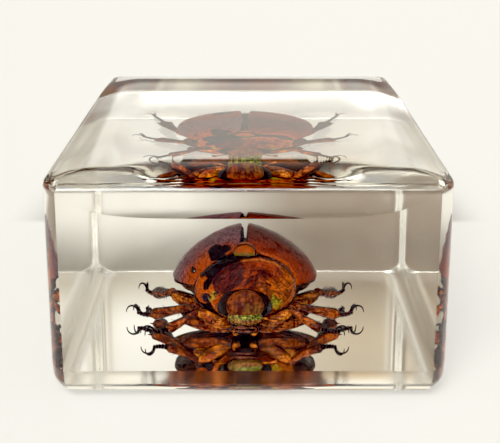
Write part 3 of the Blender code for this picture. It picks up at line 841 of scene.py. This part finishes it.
for name, centre, radii, finish, pitch, around, rings, shape in (
    # Its black stands for the shade that rings the face.
    ("head_capsule", (-0.3, -4.0, 2.9), (2.05, 1.15, 1.42), shade_and_mouth_black, -14.0, 40, 26, None),
    ("face_plate", (-0.28, -4.66, 2.98), (1.5, 0.62, 1.24), face_finish, -16.0, 40, 28, face_form),
    ("clypeus", (-0.28, -4.82, 2.02), (1.38, 0.60, 0.70), clypeus_finish, -28.0, 40, 26, clypeus_form),
    ("labrum", (-0.3, -4.95, 1.24), (1.0, 0.32, 0.12), mouth_finish, 0.0, 24, 14, None),
    ("lower_lip", (-0.3, -4.9, 0.93), (0.85, 0.32, 0.11), mouth_finish, 0.0, 24, 14, None),
    ("mouthparts", (-0.3, -4.6, 0.92), (0.78, 0.5, 0.42), shade_and_mouth_black, 0.0, 24, 16, None),
    *(
        (f"{hand}_eye", (-0.3 + side * 1.72, -4.05, 2.7), (0.46, 0.52, 0.62), eye_finish, 0.0, 24, 16, None)
        for side, hand in SIDES
    ),
):
    lump(name, centre, radii, finish, turn=(pitch, 0.0, 0.0), around=around, rings=rings, shape=shape)

# ------------------------------------------------------------------ legs
# Six legs of glossy amber chitin, folded out to the sides and resting on the bottom of the casting. Each has
# a thick femur, a tibia that widens to a toothed end, a foot of five beads and a pair of curved claws. The
# front legs stand on a short thick joint each, and on sockets that point forward under the mouth.
UP = Vector((0.0, 0.0, 1.0))
JOINT_REACH = 0.22


def ring_frame(line, i, wide, high):
    """Matrix that sets a unit disc across the line at its point i."""
    ahead = (line[min(i + 1, len(line) - 1)] - line[max(i - 1, 0)]).normalized()
    across = ahead.cross(UP).normalized()
    up = across.cross(ahead)
    turn = Matrix((across, up, -ahead)).transposed().to_4x4()
    return Matrix.Translation(line[i]) @ turn @ Matrix.Diagonal((wide, high, 1.0, 1.0))


def limb(name, line, radii, finish, flat=1.0, sides=14):
    """Grown from a disc that is extruded from point to point of the line and sized at each. Lengths in m."""
    grown = added(bpy.ops.mesh.primitive_circle_add, name, vertices=sides, radius=1.0, fill_type="NGON")
    bpy.ops.object.mode_set(mode="EDIT")
    bpy.ops.mesh.select_mode(type="FACE")
    bpy.ops.mesh.select_all(action="SELECT")
    mesh = grown.data
    was = Matrix.Identity(4)
    for i, radius in enumerate(radii):
        if i:
            bpy.ops.mesh.extrude_region_move()
        now = ring_frame(line, i, radius, radius * flat)
        bm = bmesh.from_edit_mesh(mesh)
        bmesh.ops.transform(bm, matrix=now @ was.inverted(), verts=[v for v in bm.verts if v.select])
        bmesh.update_edit_mesh(mesh)
        was = now
    bpy.ops.mesh.select_all(action="SELECT")
    bpy.ops.mesh.normals_make_consistent(inside=False)
    close_edit()
    joint = mesh.attributes.new("joint", "FLOAT", "POINT")
    reach = (line[-1] - line[0]).length
    for vertex in mesh.vertices:
        near = min((vertex.co - line[0]).length, (vertex.co - line[-1]).length) / reach
        joint.data[vertex.index].value = 1.0 - ease(near / JOINT_REACH)
    make_smooth(grown, 70.0)
    mesh.materials.append(finish)
    return grown


def through(points, steps):
    """A smooth run through three points, or through three sizes."""
    first, middle, last = points
    pull = 2.0 * middle - (first + last) / 2
    return [
        first * (1 - t) ** 2 + pull * 2 * t * (1 - t) + last * t * t
        for t in (i / steps for i in range(steps + 1))
    ]


def joints_at(side, places):
    """Points from places given as (out from the body's middle, along Y, height) in mm."""
    return [Vector((BODY_X + side * out * MM, y * MM, z * MM)) for out, y, z in places]


def spine(root, way, length, thick, finish):
    """One stiff bristle or tooth: a thin cone that stands on the limb."""
    made = added(
        bpy.ops.mesh.primitive_cone_add, "spine", vertices=6, radius1=thick, radius2=thick * 0.12, depth=length
    )
    made.rotation_euler = way.to_track_quat("Z", "Y").to_euler()
    made.location = root + way.normalized() * length * 0.45
    place_in_mesh(made)
    made.data.materials.append(finish)
    return made


AMBER, AMBER_DARK = (0.95, 0.30, 0.012), (0.36, 0.050, 0.003)
GROOVES = (
    stain((0.0, 0.0, 1.5), (ALL_ALONG, ALL_ALONG, ALL_ALONG), (0.05, 0.007, 0.002), streaked=1.0, strength=0.8),
)
# Both leg finishes take the full painted shade on their upright sides.
femur_finish = chitin(
    "femur_amber", AMBER, AMBER_DARK, mottle=1500.0, roughness=0.22, gloss=0.25, ends=(0.03, 0.006, 0.003),
    edge=1.0, stains=GROOVES,
)
tibia_finish = chitin(
    "tibia_amber_red", (0.62, 0.14, 0.008), (0.14, 0.014, 0.005), mottle=1700.0, roughness=0.25, gloss=0.25,
    ends=(0.02, 0.005, 0.004), edge=1.0, stains=GROOVES,
)
foot_finish = chitin("foot_plum", (0.045, 0.014, 0.013), (0.012, 0.006, 0.008), mottle=1800.0, roughness=0.25)
claw_finish = chitin("claw_black", (0.022, 0.009, 0.007), (0.007, 0.004, 0.005), roughness=0.18, gloss=0.3)

# Each leg: its gain in thickness, its teeth, and its run from the hip over the knee and the ankle to the end
# of the foot, as (out from the body's middle, along Y, height) in mm.
LEGS = {
    "front": (0.95, 3, (
        (1.0, -2.5, 0.85), (2.3, -2.9, 1.3), (3.65, -2.8, 2.2), (4.9, -3.2, 1.35), (6.1, -3.6, 0.75),
        (6.7, -3.9, 0.62), (7.2, -4.15, 0.62),
    )),
    "middle": (1.15, 2, (
        (1.3, -1.0, 0.9), (2.7, -1.2, 1.3), (4.1, -1.2, 2.05), (5.9, 0.2, 1.35), (7.45, 1.3, 0.78),
        (8.2, 1.9, 0.62), (8.8, 2.4, 0.72),
    )),
    "hind": (1.2, 2, (
        (1.4, 1.0, 1.0), (3.8, 1.7, 1.45), (5.95, 3.2, 2.2), (6.7, 5.0, 1.75), (7.25, 6.9, 1.3),
        (7.9, 8.6, 0.85), (8.5, 10.1, 0.85),
    )),
}
KNEE, ANKLE = 2, 4
# Half-widths in mm at the start, the middle and the end of each part, and the steps it is grown in.
FEMUR, TIBIA, TARSUS = (0.5, 0.74, 0.42), (0.30, 0.42, 0.6), (0.22, 0.17, 0.15)
FEMUR_STEPS, TIBIA_STEPS, BEADS = 10, 12, 5
NARROW_START, NARROW_END, LEG_FLAT = 0.55, 0.6, 0.8
BEAD_FORM = (0.62, 1.0, 1.28)
CLAW_REACH, CLAW_LIFT, CLAW_THICK = 1.05 * MM, 0.55 * MM, 0.13 * MM
CLAW_SPREAD, CLAW_SWEEP, CLAW_STEPS = 24.0, 185.0, 8
BRISTLES, BRISTLE_TURN = 9, 137.5


def claw_line(foot, level):
    """Leaves the foot along its heading, arches up and turns down to its point."""
    line = []
    for i in range(CLAW_STEPS + 1):
        angle = math.radians(CLAW_SWEEP * i / CLAW_STEPS)
        out = CLAW_REACH / 2 * (1.0 - math.cos(angle))
        line.append(foot + level * out + Vector((0.0, 0.0, CLAW_LIFT * math.sin(angle))))
    return line


def build_leg(name, side, gain, teeth, places):
    joints = joints_at(side, places)
    parts, runs = [], []
    for part, run, widths, steps, finish in (
        ("femur", joints[:KNEE + 1], FEMUR, FEMUR_STEPS, femur_finish),
        ("tibia", joints[KNEE:ANKLE + 1], TIBIA, TIBIA_STEPS, tibia_finish),
    ):
        line = through(run, steps)
        sizes = [size * MM * gain for size in through(widths, steps)]
        sizes[0] *= NARROW_START
        sizes[-1] *= NARROW_END
        parts.append(limb(part, line, sizes, finish, flat=LEG_FLAT))
        runs.append((line, sizes))
    (femur_line, _), (tibia_line, tibia_sizes) = runs
    coxa = femur_line[0] + Vector((0.0, 0.1 * MM, 0.12 * MM))
    for part, spot, radii, finish in (
        ("coxa", coxa, (0.55, 0.5, 0.42), femur_finish), ("knee", femur_line[-1], [0.33 * gain] * 3, tibia_finish),
    ):
        parts.append(lump(part, [c / MM for c in spot], radii, finish, around=16, rings=10, alone=False))
    foot_line = through(joints[ANKLE:], BEADS * 3)
    foot_sizes = [size * MM * BEAD_FORM[i % 3] for i, size in enumerate(through(TARSUS, BEADS * 3))]
    parts.append(limb("tarsus", foot_line, foot_sizes, foot_finish))
    heading = (foot_line[-1] - foot_line[-3]).normalized()
    claw_sizes = [CLAW_THICK * (1.0 - 0.75 * i / CLAW_STEPS) for i in range(CLAW_STEPS + 1)]
    for spread in (-CLAW_SPREAD, CLAW_SPREAD):
        level = Matrix.Rotation(math.radians(spread), 3, "Z") @ heading
        level = Vector((level.x, level.y, 0.0)).normalized()
        parts.append(limb("claw", claw_line(foot_line[-2], level), claw_sizes, claw_finish, sides=10))
    down_leg = (tibia_line[-1] - tibia_line[0]).normalized()
    outward = down_leg.cross(UP).normalized()
    if outward.y > 0:
        outward = -outward
    for tooth in range(teeth):
        at = TIBIA_STEPS - 1 - 3 * tooth
        root = tibia_line[at] + outward * tibia_sizes[at] * 0.7
        parts.append(spine(root, outward + down_leg * 0.7, 0.5 * MM, 0.13 * MM, tibia_finish))
    for bristle in range(BRISTLES):
        at = 2 + bristle
        lean = Matrix.Rotation(math.radians(BRISTLE_TURN * bristle), 3, down_leg) @ outward
        root = tibia_line[at] + lean * tibia_sizes[at] * 0.7
        parts.append(spine(root, lean + down_leg * 0.9, 0.42 * MM, 0.035 * MM, claw_finish))
    bpy.ops.object.select_all(action="DESELECT")
    for part in parts:
        part.select_set(True)
    bpy.context.view_layer.objects.active = parts[0]
    bpy.ops.object.join()
    bpy.context.object.name = name
    settle(bpy.context.object)


for which, plan in LEGS.items():
    for side, hand in SIDES:
        build_leg(f"{hand}_{which}_leg", side, *plan)
for side, hand in SIDES:
    line = through(joints_at(side, ((1.0, -3.0, 0.66), (2.7, -2.4, 0.70), (4.7, -1.6, 0.95))), 10)
    sizes = [size * MM for size in through((0.30, 0.50, 0.32), 10)]
    settle(limb(f"{hand}_front_joint", line, sizes, tibia_finish))
for side, hand in SIDES:
    lump(
        f"{hand}_front_socket", (-0.3 + side * 0.62, -3.5, 0.72), (0.36, 0.95, 0.46), femur_finish,
        turn=(8.0, 0.0, side * 14.0), around=20, rings=14,
    )

# ------------------------------------------------------------------ antennae
# Short amber feelers folded beside the mouth, each ending in a small leafed club.
for side, hand in SIDES:
    (root,) = joints_at(side, ((1.35, -4.3, 1.9),))
    elbow = root + Vector((side * 0.7, -0.35, -0.1)) * MM
    tip = elbow + Vector((side * 0.55, 0.1, -0.15)) * MM
    sizes = [0.09 * MM] * 6 + [0.15 * MM, 0.19 * MM, 0.12 * MM]
    settle(limb(f"{hand}_antenna", through((root, elbow, tip), 8), sizes, femur_finish, sides=10))

# ------------------------------------------------------------------ stand, light and camera
# A pale table top that glows like backlit milk glass, with painted shadows behind the block and a brighter painted
# glow under it, a pale surround that is brighter high up and to the left, a wide soft light from the front left,
# and the camera as it stood for the photograph.
floor = added(bpy.ops.mesh.primitive_plane_add, "table_top", size=2.4, location=(0.0, 0.5, -0.0001))
place_in_mesh(floor)
paper, tree, shader = new_material("pale_table")
place = axes_of(tree.nodes, tree.nodes.new("ShaderNodeTexCoord").outputs["Object"])


def table_mask(*edges):
    """Where the table lies between all these soft edges, each as (axis, from, to) in mm."""
    mask = 1.0
    for axis, first, last in edges:
        mask = maths(tree.nodes, "MULTIPLY", soft_step(tree.nodes, place[axis], first * MM, last * MM), mask)
    return mask


# Painted shadows on the table: a soft one close behind the block, and a warmer and longer one behind its right
# half. Under the block the table's glow is painted brighter.
painted_shadow_close_behind = table_mask(("X", -26.0, -16.0), ("X", 26.0, 16.0), ("Y", 20.6, 22.4), ("Y", 42.0, 19.0))
painted_shadow_behind_right = table_mask(("X", -9.0, 8.0), ("X", 24.0, 15.0), ("Y", 20.6, 22.4), ("Y", 75.0, 46.0))
painted_glow_underneath = table_mask(("X", -14.0, -12.0), ("X", 14.0, 12.0), ("Y", -21.5, -18.0), ("Y", 14.5, 9.0))
# Each row: the plain tone, then the painted shadow close behind the block, the brighter painted glow under it and
# the warmer painted shadow behind its right half.
for socket, plain, near, below, warm_shadow in (
    ("Base Color", (0.40, 0.395, 0.375), (0.16, 0.150, 0.130), (0.40, 0.395, 0.375), (0.150, 0.120, 0.094)),
    ("Emission Color", (0.42, 0.415, 0.395), (0.17, 0.158, 0.137), (0.54, 0.53, 0.49), (0.150, 0.120, 0.094)),
):
    tone = plain
    for colour, mask in ((near, painted_shadow_close_behind), (below, painted_glow_underneath), (warm_shadow, painted_shadow_behind_right)):
        tone = tinted(tree, tone, colour, mask)
    feed(tone, shader.inputs[socket])
shader.inputs["Emission Strength"].default_value = 1.0
shader.inputs["Roughness"].default_value = 0.7
floor.data.materials.append(paper)

scene = bpy.context.scene
world = bpy.data.worlds.new("pale_room")
scene.world = world
world.use_nodes = True
sky = world.node_tree
ray = sky.nodes.new("ShaderNodeTexCoord").outputs["Generated"]
heading = axes_of(sky.nodes, ray)


def wall_colour(*stops):
    """The wall's colour by the sine of the height angle. Each stop: that sine and the colour."""
    stops = ((0.05, (0.28, 0.27, 0.25)), (0.115, (0.98, 0.94, 0.84)), *stops, (1.0, (0.36, 0.36, 0.36)))
    ramp = sky.nodes.new("ShaderNodeValToRGB")
    elements = ramp.color_ramp.elements
    while len(elements) < len(stops):
        elements.new(0.5)
    for element, (position, colour) in zip(elements, stops):
        element.position = position
        element.color = (*colour, 1.0)
    feed(heading["Z"], ramp.inputs[0])
    return ramp.outputs["Color"]


def sky_blend(value, low, high, first, second):
    """Fades from one colour to another while a value runs from low to high."""
    return tinted(sky, first, second, mapped(sky.nodes, value, low, high))


# The left half of the wall behind the block is the brighter. Far out to each side the halves change places.
left_wall = wall_colour(
    (0.215, (0.98, 0.94, 0.84)),
    (0.27, (1.12, 1.09, 1.00)),
    (0.330, (0.34, 0.300, 0.250)),
    (0.358, (0.47, 0.41, 0.31)),
    (0.376, (0.70, 0.66, 0.56)),
    (0.400, (1.05, 1.03, 0.97)),
    (0.47, (0.85, 0.84, 0.80)),
    (0.60, (0.45, 0.45, 0.44)),
)
right_wall = wall_colour(
    (0.225, (1.12, 1.06, 0.95)),
    (0.265, (0.74, 0.58, 0.37)),
    (0.300, (0.56, 0.42, 0.26)),
    (0.330, (0.205, 0.165, 0.135)),
    (0.358, (0.28, 0.22, 0.170)),
    (0.392, (0.46, 0.38, 0.28)),
    (0.412, (0.60, 0.50, 0.36)),
    (0.50, (0.48, 0.44, 0.38)),
)
SWAP_FROM, SWAP_TO = 0.113, 0.133
FAR_LEFT, FAR_RIGHT, FRONT_ROOM = (0.34, 0.29, 0.22), (0.60, 0.56, 0.48), (0.75, 0.745, 0.72)
outward = maths(sky.nodes, "ABSOLUTE", heading["X"])
swap = mapped(sky.nodes, outward, SWAP_FROM, SWAP_TO, 1.0, -1.0, smooth=False)
across = maths(sky.nodes, "MULTIPLY", heading["X"], swap)
back = sky_blend(across, -0.10, 0.10, left_wall, right_wall)
far_out = sky_blend(heading["X"], -0.05, 0.05, FAR_LEFT, FAR_RIGHT)
back = sky_blend(outward, 0.165, 0.20, back, far_out)
room = sky_blend(heading["Y"], -0.2, 0.2, FRONT_ROOM, back)
# A wide soft box in front of the block and above the camera, a little to the left.
WINDOW_AZIMUTH, WINDOW_HEIGHT = math.radians(15.0), math.radians(42.0)
WINDOW_EDGE, WINDOW_CORE, WINDOW_LIGHT = math.radians(23.0), math.radians(8.0), (13.0, 12.9, 12.7)
aim = (
    -math.sin(WINDOW_AZIMUTH) * math.cos(WINDOW_HEIGHT),
    -math.cos(WINDOW_AZIMUTH) * math.cos(WINDOW_HEIGHT),
    math.sin(WINDOW_HEIGHT),
)
toward = vector_maths(sky.nodes, "DOT_PRODUCT", ray, aim)
lit = sky_blend(toward, math.cos(WINDOW_EDGE), math.cos(WINDOW_CORE), room, WINDOW_LIGHT)
feed(lit, sky.nodes["Background"].inputs["Color"])
sky.nodes["Background"].inputs["Strength"].default_value = 1.0

lens = bpy.data.cameras.new("camera")
camera = bpy.data.objects.new("camera", lens)
scene.collection.objects.link(camera)
lens.sensor_width = 36.0
lens.lens = 83.35
lens.clip_start = 0.002
lens.clip_end = 20.0
LOOKS_DOWN = 16.98
camera.location = (0.00011, -0.09526, 0.03552)
camera.rotation_euler = (math.radians(90.0 - LOOKS_DOWN), 0.0, 0.0)
scene.camera = camera
cycles = scene.cycles
cycles.max_bounces = 64
cycles.transmission_bounces = 64
cycles.glossy_bounces = 8
cycles.diffuse_bounces = 4
cycles.volume_bounces = 0
cycles.sample_clamp_indirect = 9.0
look = scene.view_settings
look.view_transform = "Standard"
look.use_curve_mapping = True
look.curve_mapping.black_level = (0.050, 0.050, 0.044)
look.curve_mapping.update()
